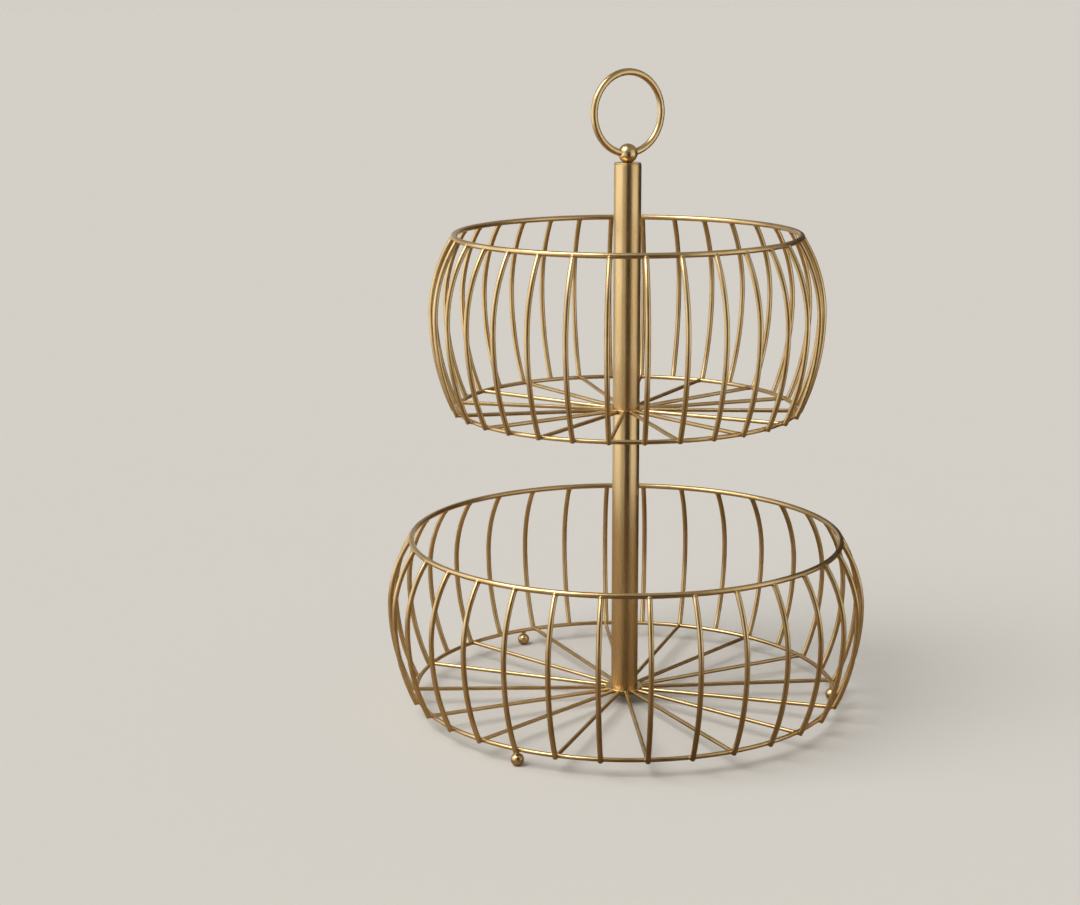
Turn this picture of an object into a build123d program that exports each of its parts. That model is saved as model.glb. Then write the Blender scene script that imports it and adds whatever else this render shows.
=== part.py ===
from build123d import *
import os
from math import asin, atan2, cos, degrees

# Round fruit basket in two tiers, made of bowed steel wires on one pole. Millimetres, +Z up.
# The origin is on the pole's axis, on the table. The handle ring stands in the XZ plane.
# Azimuths are seen from above: 0 is the front, -Y, and they grow towards +X.

full_turn = 360.0
quarter_turn = full_turn / 4

# Wire sizes, how far two crossed wires are pressed into each other when they are welded, and how
# far below the bottom ring's middle a rib's own middle ends.
rim_wire = 3.8
ring_wire = 3.0
rib_wire = 3.6
spoke_wire = 2.8
weld_set = 0.6
rib_end_drop = 0.9

# How the wires are counted out. The start counts are the ribs from the front to a first foot or spoke.
rib_count = 32
ribs_per_spoke = 2
foot_count = 3
foot_start_count = -6
lower_spoke_start_count = 1
upper_spoke_start_count = 0

# Lower basket, measured to the wires' middles: its bottom ring, how much wider its rim is, how far
# the ribs bulge out past the rim, and how high rim and bulge stand above the ring.
lower_ring_radius = 150.5
lower_rim_flare = 2.0
lower_bulge = 15.6
lower_rim_rise = 112.0
lower_bulge_rise = 63.3

# Upper basket, in the same way.
upper_ring_radius = 118.5
upper_rim_flare = 1.5
upper_bulge = 16.1
upper_rim_rise = 121.0
upper_bulge_rise = 67.0

# Each floor dips a little from its ring to its hub plate.
floor_dish = 1.8
hub_radius = 13.5
hub_thickness = 3.0

# Ball feet: a turned ball on a short neck, ground flat where it stands.
foot_ball = 9.0
foot_flat = 0.3
foot_neck = 2.8
foot_neck_length = 1.2

# The pole is two tubes, one for each tier.
tube_diameter = 19.0
tube_wall = 1.0
lower_tube_length = 202.5
upper_tube_length = 170.0

# Threaded inserts in the tubes' ends, and the screws in them, drawn without their threads.
# The fits are gaps on the radius.
insert_length = 14.0
insert_fit = 0.05
screw_diameter = 6.0
screw_fit = 0.05
screw_grip = 11.0
hub_hole_gap = 0.3
head_diameter = 10.5
head_height = 3.3
head_round = 1.6
socket_side_count = 6
socket_width = 4.0
socket_depth = 2.0
washer_diameter = 16.0
washer_thickness = 1.2

# Cap, ball finial and handle ring at the top of the pole.
cap_diameter = 18.4
cap_height = 1.0
cap_round = 0.4
cap_plug_length = 12.0
finial_ball_diameter = 13.5
finial_seat_depth = 0.6
finial_stud_diameter = 4.0
finial_stud_grip = 9.0
finial_stud_reach = 3.5
finial_tip_gap = 0.5
handle_radius = 27.5
handle_wire = 4.8
handle_socket_depth = 3.0

# Radii, heights and counts that follow from the sizes above.
rib_pitch = full_turn / rib_count
spoke_count = rib_count // ribs_per_spoke
tube_bore = tube_diameter - 2 * tube_wall
lower_rim_radius = lower_ring_radius + lower_rim_flare
lower_bulge_radius = lower_rim_radius + lower_bulge
upper_rim_radius = upper_ring_radius + upper_rim_flare
upper_bulge_radius = upper_rim_radius + upper_bulge
lower_ring_height = foot_ball - foot_flat + foot_neck_length + ring_wire / 2
lower_hub_top = lower_ring_height - floor_dish + hub_thickness / 2
lower_hub_bottom = lower_hub_top - hub_thickness
upper_hub_bottom = lower_hub_top + lower_tube_length
upper_hub_top = upper_hub_bottom + hub_thickness
upper_ring_height = upper_hub_top - hub_thickness / 2 + floor_dish
pole_top = upper_hub_top + upper_tube_length
cap_top = pole_top + cap_height
finial_height = cap_top + finial_ball_diameter / 2 - finial_seat_depth
handle_height = finial_height + handle_radius


def rib_azimuth(number):
    """Where a rib stands. The axes fall midway between two ribs."""
    return (number + 1 / 2) * rib_pitch


def turned(shape, azimuth):
    """Turns a shape that was drawn on the +X side to an azimuth."""
    return Rot(0, 0, azimuth - quarter_turn) * shape


def around(shape, count):
    """Equal copies of a solid, spread evenly round the pole."""
    return Compound([Rot(0, 0, full_turn * k / count) * shape for k in range(count)])


def main_solid(shape):
    """The largest solid that a cut has left."""
    return max(shape.solids(), key=lambda solid: solid.volume)


def upright(diameter, bottom, top):
    """A cylinder on the pole's axis, from one height to another."""
    base = (Align.CENTER, Align.CENTER, Align.MIN)
    return Pos(0, 0, bottom) * Cylinder(diameter / 2, top - bottom, align=base)


def sleeve(outside, bore, bottom, top):
    """A cylinder on the pole's axis with a hole right through it."""
    return upright(outside, bottom, top) - upright(bore, bottom, top)


def wire_hoop(radius, height, wire):
    """A hoop of round wire that lies level, its butt weld ground smooth."""
    return Pos(0, 0, height) * Torus(radius, wire / 2)


def bend(widest_radius, widest_height, bend_radius, span, side):
    """One bend of a rib. It leaves the widest point upright and turns inwards, up or down."""
    section = Pos(widest_radius, 0, widest_height) * Circle(rib_wire / 2)
    bend_axis = Axis((widest_radius - bend_radius, 0, widest_height), (0, -side, 0))
    return revolve(section, bend_axis, span)


def bowed_rib(rim_radius, ring_radius, widest_radius, ring_height, rim_rise, widest_rise):
    """A rib of two bends that meet at the basket's widest point.

    The upper bend runs into the middle of the rim. The lower one passes outside the bottom ring,
    pressed into it by the weld, and is cut off beside it.
    """
    rim_inset = widest_radius - rim_radius
    rim_drop = rim_rise - widest_rise
    upper_bend = (rim_inset ** 2 + rim_drop ** 2) / (2 * rim_inset)
    upper_span = degrees(asin(rim_drop / upper_bend))

    ring_inset = widest_radius - ring_radius
    lap = (ring_wire + rib_wire) / 2 - weld_set
    lower_bend = (ring_inset ** 2 + widest_rise ** 2 - lap ** 2) / (2 * (ring_inset - lap))
    lower_span = degrees(asin((widest_rise + rib_end_drop) / lower_bend))

    widest_height = ring_height + widest_rise
    upper_part = bend(widest_radius, widest_height, upper_bend, upper_span, 1)
    lower_part = bend(widest_radius, widest_height, lower_bend, lower_span, -1)
    return upper_part + lower_part


def rib_set(rib, rim, ring):
    """All ribs of a basket, each coped to the rim that it carries and to the ring that it laps."""
    first = turned(rib, rib_azimuth(0))
    return around(main_solid(first - rim - ring), rib_count)


def spoke_set(ring_radius, ring_height, start_count, ring):
    """A floor's spokes, coped to the edge of the hub plate and to the inside of the ring."""
    run = ring_radius - hub_radius
    slope = atan2(floor_dish, run)
    start = ring_height - floor_dish * ring_radius / run
    base = (Align.CENTER, Align.CENTER, Align.MIN)
    rod = Cylinder(spoke_wire / 2, ring_radius / cos(slope), align=base)
    rod = Pos(0, 0, start) * Rot(0, quarter_turn - degrees(slope), 0) * rod
    hub_space = upright(2 * hub_radius, ring_height - hub_radius, ring_height + hub_radius)
    first = turned(rod, rib_azimuth(start_count))
    return around(main_solid(first - hub_space - ring), spoke_count)


def hub_plate(bottom):
    """A round plate in the middle of a floor, with a clearance hole for the screw or stud."""
    return sleeve(2 * hub_radius, screw_diameter + 2 * hub_hole_gap, bottom, bottom + hub_thickness)


def foot_set(ring, ribs):
    """Ball feet under the bottom ring, each coped to the wires that it is welded to."""
    middle = foot_ball / 2 - foot_flat
    ball = Pos(0, 0, middle) * Sphere(foot_ball / 2)
    neck = upright(foot_neck, middle, lower_ring_height)
    below = upright(foot_ball, -foot_ball, 0)
    foot = Pos(lower_ring_radius, 0, 0) * (ball + neck - below)
    feet = []
    for k in range(foot_count):
        azimuth = rib_azimuth(foot_start_count) + full_turn * k / foot_count
        feet.append(main_solid(turned(foot, azimuth) - ring - ribs))
    return Compound(feet)


def tube(bottom, top):
    """One length of the pole."""
    return sleeve(tube_diameter, tube_bore, bottom, top)


def threaded_insert(bottom, top):
    """A plug with a threaded hole, pressed into a tube's end until it is level with it."""
    return sleeve(tube_bore - 2 * insert_fit, screw_diameter + 2 * screw_fit, bottom, top)


def base_screw(bearing):
    """A button-head screw that points up, its head under the bearing height."""
    head = upright(head_diameter, bearing - head_height, bearing)
    head = fillet(head.edges().sort_by(Axis.Z)[0], head_round)
    hexagon = RegularPolygon(socket_width / 2, socket_side_count, major_radius=False)
    socket = extrude(Pos(0, 0, bearing - head_height) * hexagon, socket_depth)
    return head + upright(screw_diameter, bearing, lower_hub_top + screw_grip) - socket


def pole_cap():
    """A low round cap with a plug that fits the upper tube, and a threaded hole for the finial."""
    flange = upright(cap_diameter, pole_top, cap_top)
    flange = fillet(flange.edges().sort_by(Axis.Z)[-1], cap_round)
    plug = upright(tube_bore - 2 * insert_fit, pole_top - cap_plug_length, pole_top)
    hole = upright(finial_stud_diameter + 2 * screw_fit, pole_top - cap_plug_length, cap_top)
    return flange + plug - hole


def handle_ring():
    """An upright ring of thick wire, left open where its two ends go into the ball."""
    gap = degrees(asin((finial_ball_diameter / 2 - handle_socket_depth) / handle_radius))
    axis = Axis((0, 0, handle_height), (0, 1, 0))
    section = Plane(origin=(0, 0, finial_height), z_dir=(1, 0, 0)) * Circle(handle_wire / 2)
    return revolve(section.rotate(axis, gap), axis, full_turn - 2 * gap)


def finial_ball(handle):
    """The ball under the handle ring, with a flat seat, a hole for its stud and two wire sockets."""
    ball = Pos(0, 0, finial_height) * Sphere(finial_ball_diameter / 2)
    seat = upright(finial_ball_diameter, cap_top - finial_ball_diameter, cap_top)
    hole_top = cap_top + finial_stud_reach + finial_tip_gap
    hole = upright(finial_stud_diameter + 2 * screw_fit, cap_top, hole_top)
    return ball - seat - hole - handle


lower_rim = wire_hoop(lower_rim_radius, lower_ring_height + lower_rim_rise, rim_wire)
lower_ring = wire_hoop(lower_ring_radius, lower_ring_height, ring_wire)
lower_rib = bowed_rib(lower_rim_radius, lower_ring_radius, lower_bulge_radius,
                      lower_ring_height, lower_rim_rise, lower_bulge_rise)
lower_ribs = rib_set(lower_rib, lower_rim, lower_ring)
lower_spokes = spoke_set(lower_ring_radius, lower_ring_height, lower_spoke_start_count, lower_ring)

upper_rim = wire_hoop(upper_rim_radius, upper_ring_height + upper_rim_rise, rim_wire)
upper_ring = wire_hoop(upper_ring_radius, upper_ring_height, ring_wire)
upper_rib = bowed_rib(upper_rim_radius, upper_ring_radius, upper_bulge_radius,
                      upper_ring_height, upper_rim_rise, upper_bulge_rise)
upper_ribs = rib_set(upper_rib, upper_rim, upper_ring)
upper_spokes = spoke_set(upper_ring_radius, upper_ring_height, upper_spoke_start_count, upper_ring)

washer_bottom = lower_hub_bottom - washer_thickness
washer_hole = screw_diameter + 2 * hub_hole_gap
handle = handle_ring()

nodes = {
    "lower_top_rim": lower_rim,
    "lower_bottom_ring": lower_ring,
    "lower_ribs": lower_ribs,
    "lower_floor_spokes": lower_spokes,
    "lower_hub_plate": hub_plate(lower_hub_bottom),
    "ball_feet": foot_set(lower_ring, lower_ribs),
    "upper_top_rim": upper_rim,
    "upper_bottom_ring": upper_ring,
    "upper_ribs": upper_ribs,
    "upper_floor_spokes": upper_spokes,
    "upper_hub_plate": hub_plate(upper_hub_bottom),
    "lower_tube": tube(lower_hub_top, upper_hub_bottom),
    "upper_tube": tube(upper_hub_top, pole_top),
    "lower_tube_foot_insert": threaded_insert(lower_hub_top, lower_hub_top + insert_length),
    "lower_tube_top_insert": threaded_insert(upper_hub_bottom - insert_length, upper_hub_bottom),
    "upper_tube_foot_insert": threaded_insert(upper_hub_top, upper_hub_top + insert_length),
    "joining_stud": upright(screw_diameter, upper_hub_bottom - screw_grip, upper_hub_top + screw_grip),
    "base_washer": sleeve(washer_diameter, washer_hole, washer_bottom, lower_hub_bottom),
    "base_screw": base_screw(washer_bottom),
    "pole_cap": pole_cap(),
    "finial_stud": upright(finial_stud_diameter, cap_top - finial_stud_grip,
                           cap_top + finial_stud_reach),
    "finial_ball": finial_ball(handle),
    "handle_ring": handle,
}

os.makedirs("parts", exist_ok=True)
for name, shape in nodes.items():
    export_step(shape, f"parts/{name}.step")
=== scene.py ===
# %% [markdown]
# # A round basket in two tiers, made of satin brass wire
#
# The real object is a stand of bent and welded steel wire on one tube. It is plated in a satin
# brass tone after welding, so every visible piece shares one colour and differs only in how its
# surface was made: drawn wire, brushed tube, turned ball.
#
# This file dresses a CAD model of the stand. It loads the model as a fixed frame, measures it, and
# makes each visible piece again in a finer mesh that carries its own surface coordinates.

import bmesh
import bpy
from math import asin, cos, degrees, pi, radians, sin
from mathutils import Matrix, Vector


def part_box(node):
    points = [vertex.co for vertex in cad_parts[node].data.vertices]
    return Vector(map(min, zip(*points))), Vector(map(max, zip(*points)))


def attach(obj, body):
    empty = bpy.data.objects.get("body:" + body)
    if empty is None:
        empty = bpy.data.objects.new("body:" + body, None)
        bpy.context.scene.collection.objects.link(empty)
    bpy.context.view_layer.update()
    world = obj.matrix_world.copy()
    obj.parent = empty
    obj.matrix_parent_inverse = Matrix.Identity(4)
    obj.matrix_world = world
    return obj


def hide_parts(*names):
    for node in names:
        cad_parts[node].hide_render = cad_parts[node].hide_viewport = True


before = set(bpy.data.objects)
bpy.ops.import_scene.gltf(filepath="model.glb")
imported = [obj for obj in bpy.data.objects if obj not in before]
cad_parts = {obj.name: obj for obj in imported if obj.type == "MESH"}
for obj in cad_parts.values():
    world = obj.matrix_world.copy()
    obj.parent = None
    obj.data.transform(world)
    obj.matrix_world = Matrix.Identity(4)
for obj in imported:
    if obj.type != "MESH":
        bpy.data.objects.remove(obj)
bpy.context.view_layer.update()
print("CAD nodes:", len(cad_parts))

# %% [markdown]
# ## The sizes
#
# Blender works in metres, and a maker of wire goods in millimetres, so the sizes are written in
# millimetres and multiplied by MM where they are used. They are the CAD model's own sizes. A few of
# them are read back from the frame below, which shows at once whether the two still agree.

# %% Sizes of the stand
MM = 0.001

RIM_WIRE = 3.8
RING_WIRE = 3.0
RIB_WIRE = 3.6
SPOKE_WIRE = 2.8
HANDLE_WIRE = 4.8
WELD_SET = 0.6
RIB_END_DROP = 0.9

RIB_COUNT = 32
SPOKE_COUNT = 16
FOOT_COUNT = 3
RIB_PITCH = 360 / RIB_COUNT

RING_HEIGHTS = {"lower": 11.4, "upper": 216.9}
RING_RADII = {"lower": 150.5, "upper": 118.5}
RIM_RADII = {"lower": 152.5, "upper": 120.0}
RIM_RISES = {"lower": 112.0, "upper": 121.0}
BULGE_RADII = {"lower": 168.1, "upper": 136.1}
BULGE_RISES = {"lower": 63.3, "upper": 67.0}

# The ribs' numbers at which the first floor wire and the first foot stand.
FIRST_SPOKES = {"lower": 1, "upper": 0}
FIRST_FOOT = -6

FLOOR_DISH = 1.8
HUB_RADIUS = 13.5
HUB_THICKNESS = 3.0
HUB_HOLE_RADIUS = 3.3
HUB_BOTTOMS = {"lower": 8.1, "upper": 213.6}

TUBE_RADIUS = 9.5
TUBE_BORE_RADIUS = 8.5
POLE_TOP = 386.6
CAP_TOP = 387.6
CAP_RADIUS = 9.2
CAP_PLUG_RADIUS = 8.45
CAP_PLUG_LENGTH = 12.0
STUD_HOLE_RADIUS = 2.05
FINIAL_RADIUS = 6.75
FINIAL_HEIGHT = 393.75
FINIAL_HOLE_DEPTH = 4.0
HANDLE_RADIUS = 27.5
HANDLE_HEIGHT = 421.25
HANDLE_SOCKET_DEPTH = 3.0
FOOT_BALL_RADIUS = 4.5
FOOT_FLAT = 0.3
FOOT_NECK_RADIUS = 1.4

print("there is a rib every", RIB_PITCH, "degrees")

# %% [markdown]
# A size that was typed twice can drift apart. Each hoop's real radius and height are read from its
# box in the frame and printed beside the number above.

# %% Compare a few sizes with the frame
for tier in ("lower", "upper"):
    for node, radius, height, wire in (
        (f"{tier}_top_rim", RIM_RADII[tier], RING_HEIGHTS[tier] + RIM_RISES[tier], RIM_WIRE),
        (f"{tier}_bottom_ring", RING_RADII[tier], RING_HEIGHTS[tier], RING_WIRE),
    ):
        low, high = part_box(node)
        box_radius = (high[0] - low[0]) / 2 / MM - wire / 2
        box_height = (high[2] + low[2]) / 2 / MM
        print(node, "radius", radius, "in the frame", round(box_radius, 2),
              "height", height, "in the frame", round(box_height, 2))

# %% [markdown]
# ## Two small helpers for node trees
#
# Geometry trees and material trees are both made of nodes, so one function adds a node of any kind,
# with its settings and with the value or the link of each input. A second one turns a colour as a
# painter writes it, an sRGB hex value, into the linear numbers that Blender's shaders work in.

# %% Add a node, and read a colour
def add_node(tree, kind, inputs=None, **settings):
    """Adds one node with its settings. An input gets a value, or a link if it is given a socket."""
    node = tree.nodes.new(kind)
    for name, value in settings.items():
        setattr(node, name, value)
    for key, value in (inputs or {}).items():
        if isinstance(value, bpy.types.NodeSocket):
            tree.links.new(value, node.inputs[key])
        else:
            node.inputs[key].default_value = value
    return node


def linear(hex_colour):
    """An sRGB hex colour as linear red, green, blue and a full alpha."""
    channels = [int(hex_colour[i:i + 2], 16) / 255 for i in (1, 3, 5)]
    curve = [c / 12.92 if c <= 0.04045 else ((c + 0.055) / 1.055) ** 2.4 for c in channels]
    return (*curve, 1.0)


print("a mid grey, #808080, in linear numbers:", [round(c, 3) for c in linear("#808080")])

# %% [markdown]
# ## The finishes
#
# All the visible metal is mild steel under a thin brass-toned plating and a matt clear lacquer. The
# plating is what the eye sees, so metallic is 1 and the colour is the plating's. What differs is
# the surface below it. One function starts every metal from the same shader, and each finish
# then adds its own grain, in millimetres.

# %% Start a metal
BRASS_BRIGHT = "#DEC394"
BRASS_DULL = "#C8A974"
BRASS_WELD = "#AE9060"
ZINC_BRIGHT = "#C9CDD2"
ZINC_DULL = "#A9AEB5"


def start_metal(name, roughness):
    """A metal with a plain roughness, which its grain replaces. It keeps the default IOR."""
    material = bpy.data.materials.new(name)
    material.use_nodes = True
    tree = material.node_tree
    shader = tree.nodes["Principled BSDF"]
    shader.inputs["Metallic"].default_value = 1.0
    shader.inputs["Roughness"].default_value = roughness
    return material, tree, shader


print("the bright plating in linear numbers:", [round(c, 3) for c in linear(BRASS_BRIGHT)])

# %% [markdown]
# The finishes are built from four steps. Grain is a noise with a size in millimetres. It is spread
# over a range of roughness, mixed into a tone, or raised into a relief of a real depth.

# %% Grain, range, tone and relief
def grain(tree, place, size, detail=2.0):
    """Noise whose lumps have a size in millimetres along X, Y and Z of the place it is given."""
    scale = [1 / (side * MM) for side in size]
    laid = add_node(tree, "ShaderNodeMapping", {"Vector": place, "Scale": scale})
    noise = add_node(tree, "ShaderNodeTexNoise",
                     {"Vector": laid.outputs["Vector"], "Scale": 1.0, "Detail": detail})
    return noise.outputs["Fac"]


def between(tree, value, low, high, start=0.35, stop=0.65):
    """Spreads a noise value from one number to another."""
    spread = add_node(tree, "ShaderNodeMapRange",
                      {"Value": value, "From Min": start, "From Max": stop,
                       "To Min": low, "To Max": high})
    return spread.outputs["Result"]


def tone(tree, factor, first, second):
    """Mixes two hex colours."""
    mix = add_node(tree, "ShaderNodeMix", data_type="RGBA")
    tree.links.new(factor, mix.inputs[0])
    mix.inputs[6].default_value = linear(first)
    mix.inputs[7].default_value = linear(second)
    return mix.outputs[2]


def relief(tree, height, depth, under=None):
    """A bump of a real depth in millimetres, laid over another one if it is given."""
    inputs = {"Height": height, "Distance": depth * MM, "Strength": 1.0}
    if under is not None:
        inputs["Normal"] = under
    return add_node(tree, "ShaderNodeBump", inputs).outputs["Normal"]


# %% [markdown]
# **Satin brass wire.** Wire is pulled through a die, which leaves faint lines along it. It is then
# bent, welded, tumbled and plated. The eye gets a soft highlight that is slightly drawn out along
# the wire, a fine matt grain, and a tone that wanders a little from wire to wire. Every wire piece
# below carries an attribute called straight_wire: where a point would be if the wire were pulled
# straight. The die lines follow that, so they run round every bend.

# %% Satin brass wire
# How large each pattern's lumps are, in millimetres across the wire and along it.
DIE_LINES = (0.35, 0.35, 14.0)
WIRE_SATIN = (0.45, 0.45, 0.6)
WIRE_PATCHES = (9.0, 9.0, 28.0)
# How far from a welded end the wire's colour is mixed towards the darker weld tone, in millimetres.
WELD_DARKENING_REACH = 5.0


def make_satin_wire():
    material, tree, shader = start_metal("drawn_steel_wire_satin_brass_plated", 0.3)
    straight = add_node(tree, "ShaderNodeAttribute", attribute_name="straight_wire").outputs["Vector"]
    number = add_node(tree, "ShaderNodeAttribute", attribute_name="wire_number").outputs["Fac"]
    from_weld = add_node(tree, "ShaderNodeAttribute", attribute_name="from_weld").outputs["Fac"]

    # Each wire starts somewhere else in the noise, so no two of them match.
    shift = add_node(tree, "ShaderNodeCombineXYZ", {"X": number, "Z": number})
    place = add_node(tree, "ShaderNodeVectorMath", {0: straight, 1: shift.outputs["Vector"]},
                     operation="ADD").outputs["Vector"]

    die_lines = grain(tree, place, DIE_LINES)
    satin = grain(tree, place, WIRE_SATIN, 3.0)
    patches = grain(tree, place, WIRE_PATCHES)

    colour = tone(tree, between(tree, patches, 0.0, 1.0), BRASS_BRIGHT, BRASS_DULL)
    # Near each welded end the wire's colour is mixed towards the darker weld tone.
    near_weld_darkening = between(tree, from_weld, 0.55, 0.0, 0.0, WELD_DARKENING_REACH * MM)
    tinted = add_node(tree, "ShaderNodeMix", {0: near_weld_darkening, 6: colour, 7: linear(BRASS_WELD)},
                      data_type="RGBA")
    tree.links.new(tinted.outputs[2], shader.inputs["Base Color"])
    tree.links.new(between(tree, die_lines, 0.24, 0.36), shader.inputs["Roughness"])
    lines = relief(tree, die_lines, 0.012)
    tree.links.new(relief(tree, satin, 0.006, lines), shader.inputs["Normal"])
    return material


satin_wire = make_satin_wire()
print("made", satin_wire.name)

# %% [markdown]
# **Satin brass tube.** The pole is drawn tube, brushed along its length with an abrasive belt
# before plating. The brush lines are long, so they are a noise that is stretched along Z. They widen
# the highlight sideways and leave it sharp at the tube's ends.

# %% Satin brass tube
# How large each pattern's lumps are, in millimetres round the tube and along it.
BRUSH_LINES = (0.28, 0.28, 34.0)
TUBE_SATIN = (0.4, 0.4, 0.5)
TUBE_PATCHES = (16.0, 16.0, 60.0)


def make_satin_tube():
    material, tree, shader = start_metal("drawn_steel_tube_brushed_satin_brass_plated", 0.27)
    place = add_node(tree, "ShaderNodeTexCoord").outputs["Object"]
    brush = grain(tree, place, BRUSH_LINES, 3.0)
    satin = grain(tree, place, TUBE_SATIN)
    patches = grain(tree, place, TUBE_PATCHES)
    colour = tone(tree, between(tree, patches, 0.0, 0.7), BRASS_BRIGHT, BRASS_DULL)
    tree.links.new(colour, shader.inputs["Base Color"])
    tree.links.new(between(tree, brush, 0.22, 0.34), shader.inputs["Roughness"])
    lines = relief(tree, brush, 0.008)
    tree.links.new(relief(tree, satin, 0.003, lines), shader.inputs["Normal"])
    return material


satin_tube = make_satin_tube()
print("made", satin_tube.name)

# %% [markdown]
# **Satin brass, turned.** The ball, cap, plates and feet come off a lathe, whose tool leaves fine
# rings round each piece's own axis. Every turned piece carries an attribute called lathe_place:
# where a point was while the piece was still in the lathe. The rings depend only on the distance
# from the axis and on the height, which also puts them right on the three feet.

# %% Satin brass, turned
# How large each pattern's lumps are, in millimetres, the same each way.
TOOL_RINGS = (0.22, 0.22, 0.22)
TURNED_SATIN = (0.4, 0.4, 0.4)
TURNED_PATCHES = (7.0, 7.0, 7.0)


def make_satin_turned():
    material, tree, shader = start_metal("turned_steel_satin_brass_plated", 0.26)
    place = add_node(tree, "ShaderNodeAttribute", attribute_name="lathe_place").outputs["Vector"]
    apart = add_node(tree, "ShaderNodeSeparateXYZ", {"Vector": place})
    flat = add_node(tree, "ShaderNodeCombineXYZ", {"X": apart.outputs["X"], "Y": apart.outputs["Y"]})
    reach = add_node(tree, "ShaderNodeVectorMath", {0: flat.outputs["Vector"]}, operation="LENGTH")
    rings_place = add_node(tree, "ShaderNodeCombineXYZ",
                           {"X": reach.outputs["Value"], "Z": apart.outputs["Z"]}).outputs["Vector"]
    rings = grain(tree, rings_place, TOOL_RINGS)
    satin = grain(tree, place, TURNED_SATIN)
    patches = grain(tree, place, TURNED_PATCHES)
    colour = tone(tree, between(tree, patches, 0.0, 0.8), BRASS_BRIGHT, BRASS_DULL)
    tree.links.new(colour, shader.inputs["Base Color"])
    tree.links.new(between(tree, rings, 0.21, 0.32), shader.inputs["Roughness"])
    lines = relief(tree, rings, 0.006)
    tree.links.new(relief(tree, satin, 0.003, lines), shader.inputs["Normal"])
    return material


satin_turned = make_satin_turned()
print("made", satin_turned.name)

# %% [markdown]
# **Plated weld.** Where two wires are pressed together and fused, a little steel is squeezed out.
# It is lumpier than drawn wire, and the plating over it looks darker and duller.

# %% Plated weld
WELD_LUMPS = (0.9, 0.9, 0.9)


def make_plated_weld():
    material, tree, shader = start_metal("resistance_weld_brass_plated", 0.42)
    place = add_node(tree, "ShaderNodeTexCoord").outputs["Object"]
    lumps = grain(tree, place, WELD_LUMPS, 3.0)
    colour = tone(tree, between(tree, lumps, 0.0, 1.0), BRASS_WELD, BRASS_DULL)
    tree.links.new(colour, shader.inputs["Base Color"])
    tree.links.new(between(tree, lumps, 0.34, 0.5), shader.inputs["Roughness"])
    tree.links.new(relief(tree, lumps, 0.08), shader.inputs["Normal"])
    return material


plated_weld = make_plated_weld()
print("made", plated_weld.name)

# %% [markdown]
# **Bright zinc.** The screw under the floor and the fittings inside the tubes are standard parts,
# zinc plated and left bare. Zinc is a cooler, bluer grey than the brass, with a faint cloudy
# bloom.

# %% Bright zinc
ZINC_BLOOM = (2.2, 2.2, 2.2)


def make_bright_zinc():
    material, tree, shader = start_metal("zinc_plated_steel", 0.34)
    place = add_node(tree, "ShaderNodeTexCoord").outputs["Object"]
    bloom = grain(tree, place, ZINC_BLOOM, 4.0)
    colour = tone(tree, between(tree, bloom, 0.0, 1.0), ZINC_BRIGHT, ZINC_DULL)
    tree.links.new(colour, shader.inputs["Base Color"])
    tree.links.new(between(tree, bloom, 0.28, 0.42), shader.inputs["Roughness"])
    return material


bright_zinc = make_bright_zinc()
print("made", bright_zinc.name)

# %% [markdown]
# ## Geometry Nodes: copies round the pole
#
# Nearly everything on this stand repeats round the pole: 32 ribs, 16 spokes, 3 feet and their
# welds. One small tree makes the copies, and the other trees call it. A jig holds the wires while
# they are welded, but never perfectly, so each copy may be turned by a fraction of a degree. The
# random turn has a fixed seed, and a rib and its two welds use the same seed, so they stay
# together.

# %% The tree that copies a shape round the pole
def new_tree(name, sockets):
    """An empty geometry tree with named inputs. Returns it with its two end nodes."""
    tree = bpy.data.node_groups.new(name, "GeometryNodeTree")
    tree.interface.new_socket("Geometry", in_out="INPUT", socket_type="NodeSocketGeometry")
    for socket, kind in sockets:
        tree.interface.new_socket(socket, in_out="INPUT", socket_type=kind)
    tree.interface.new_socket("Geometry", in_out="OUTPUT", socket_type="NodeSocketGeometry")
    start = add_node(tree, "NodeGroupInput")
    end = add_node(tree, "NodeGroupOutput")
    return tree, start.outputs, end


COPY_SOCKETS = [
    ("Copies", "NodeSocketInt"),
    ("First angle", "NodeSocketFloat"),
    ("Unevenness", "NodeSocketFloat"),
    ("Seed", "NodeSocketInt"),
    ("Material", "NodeSocketMaterial"),
]


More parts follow.
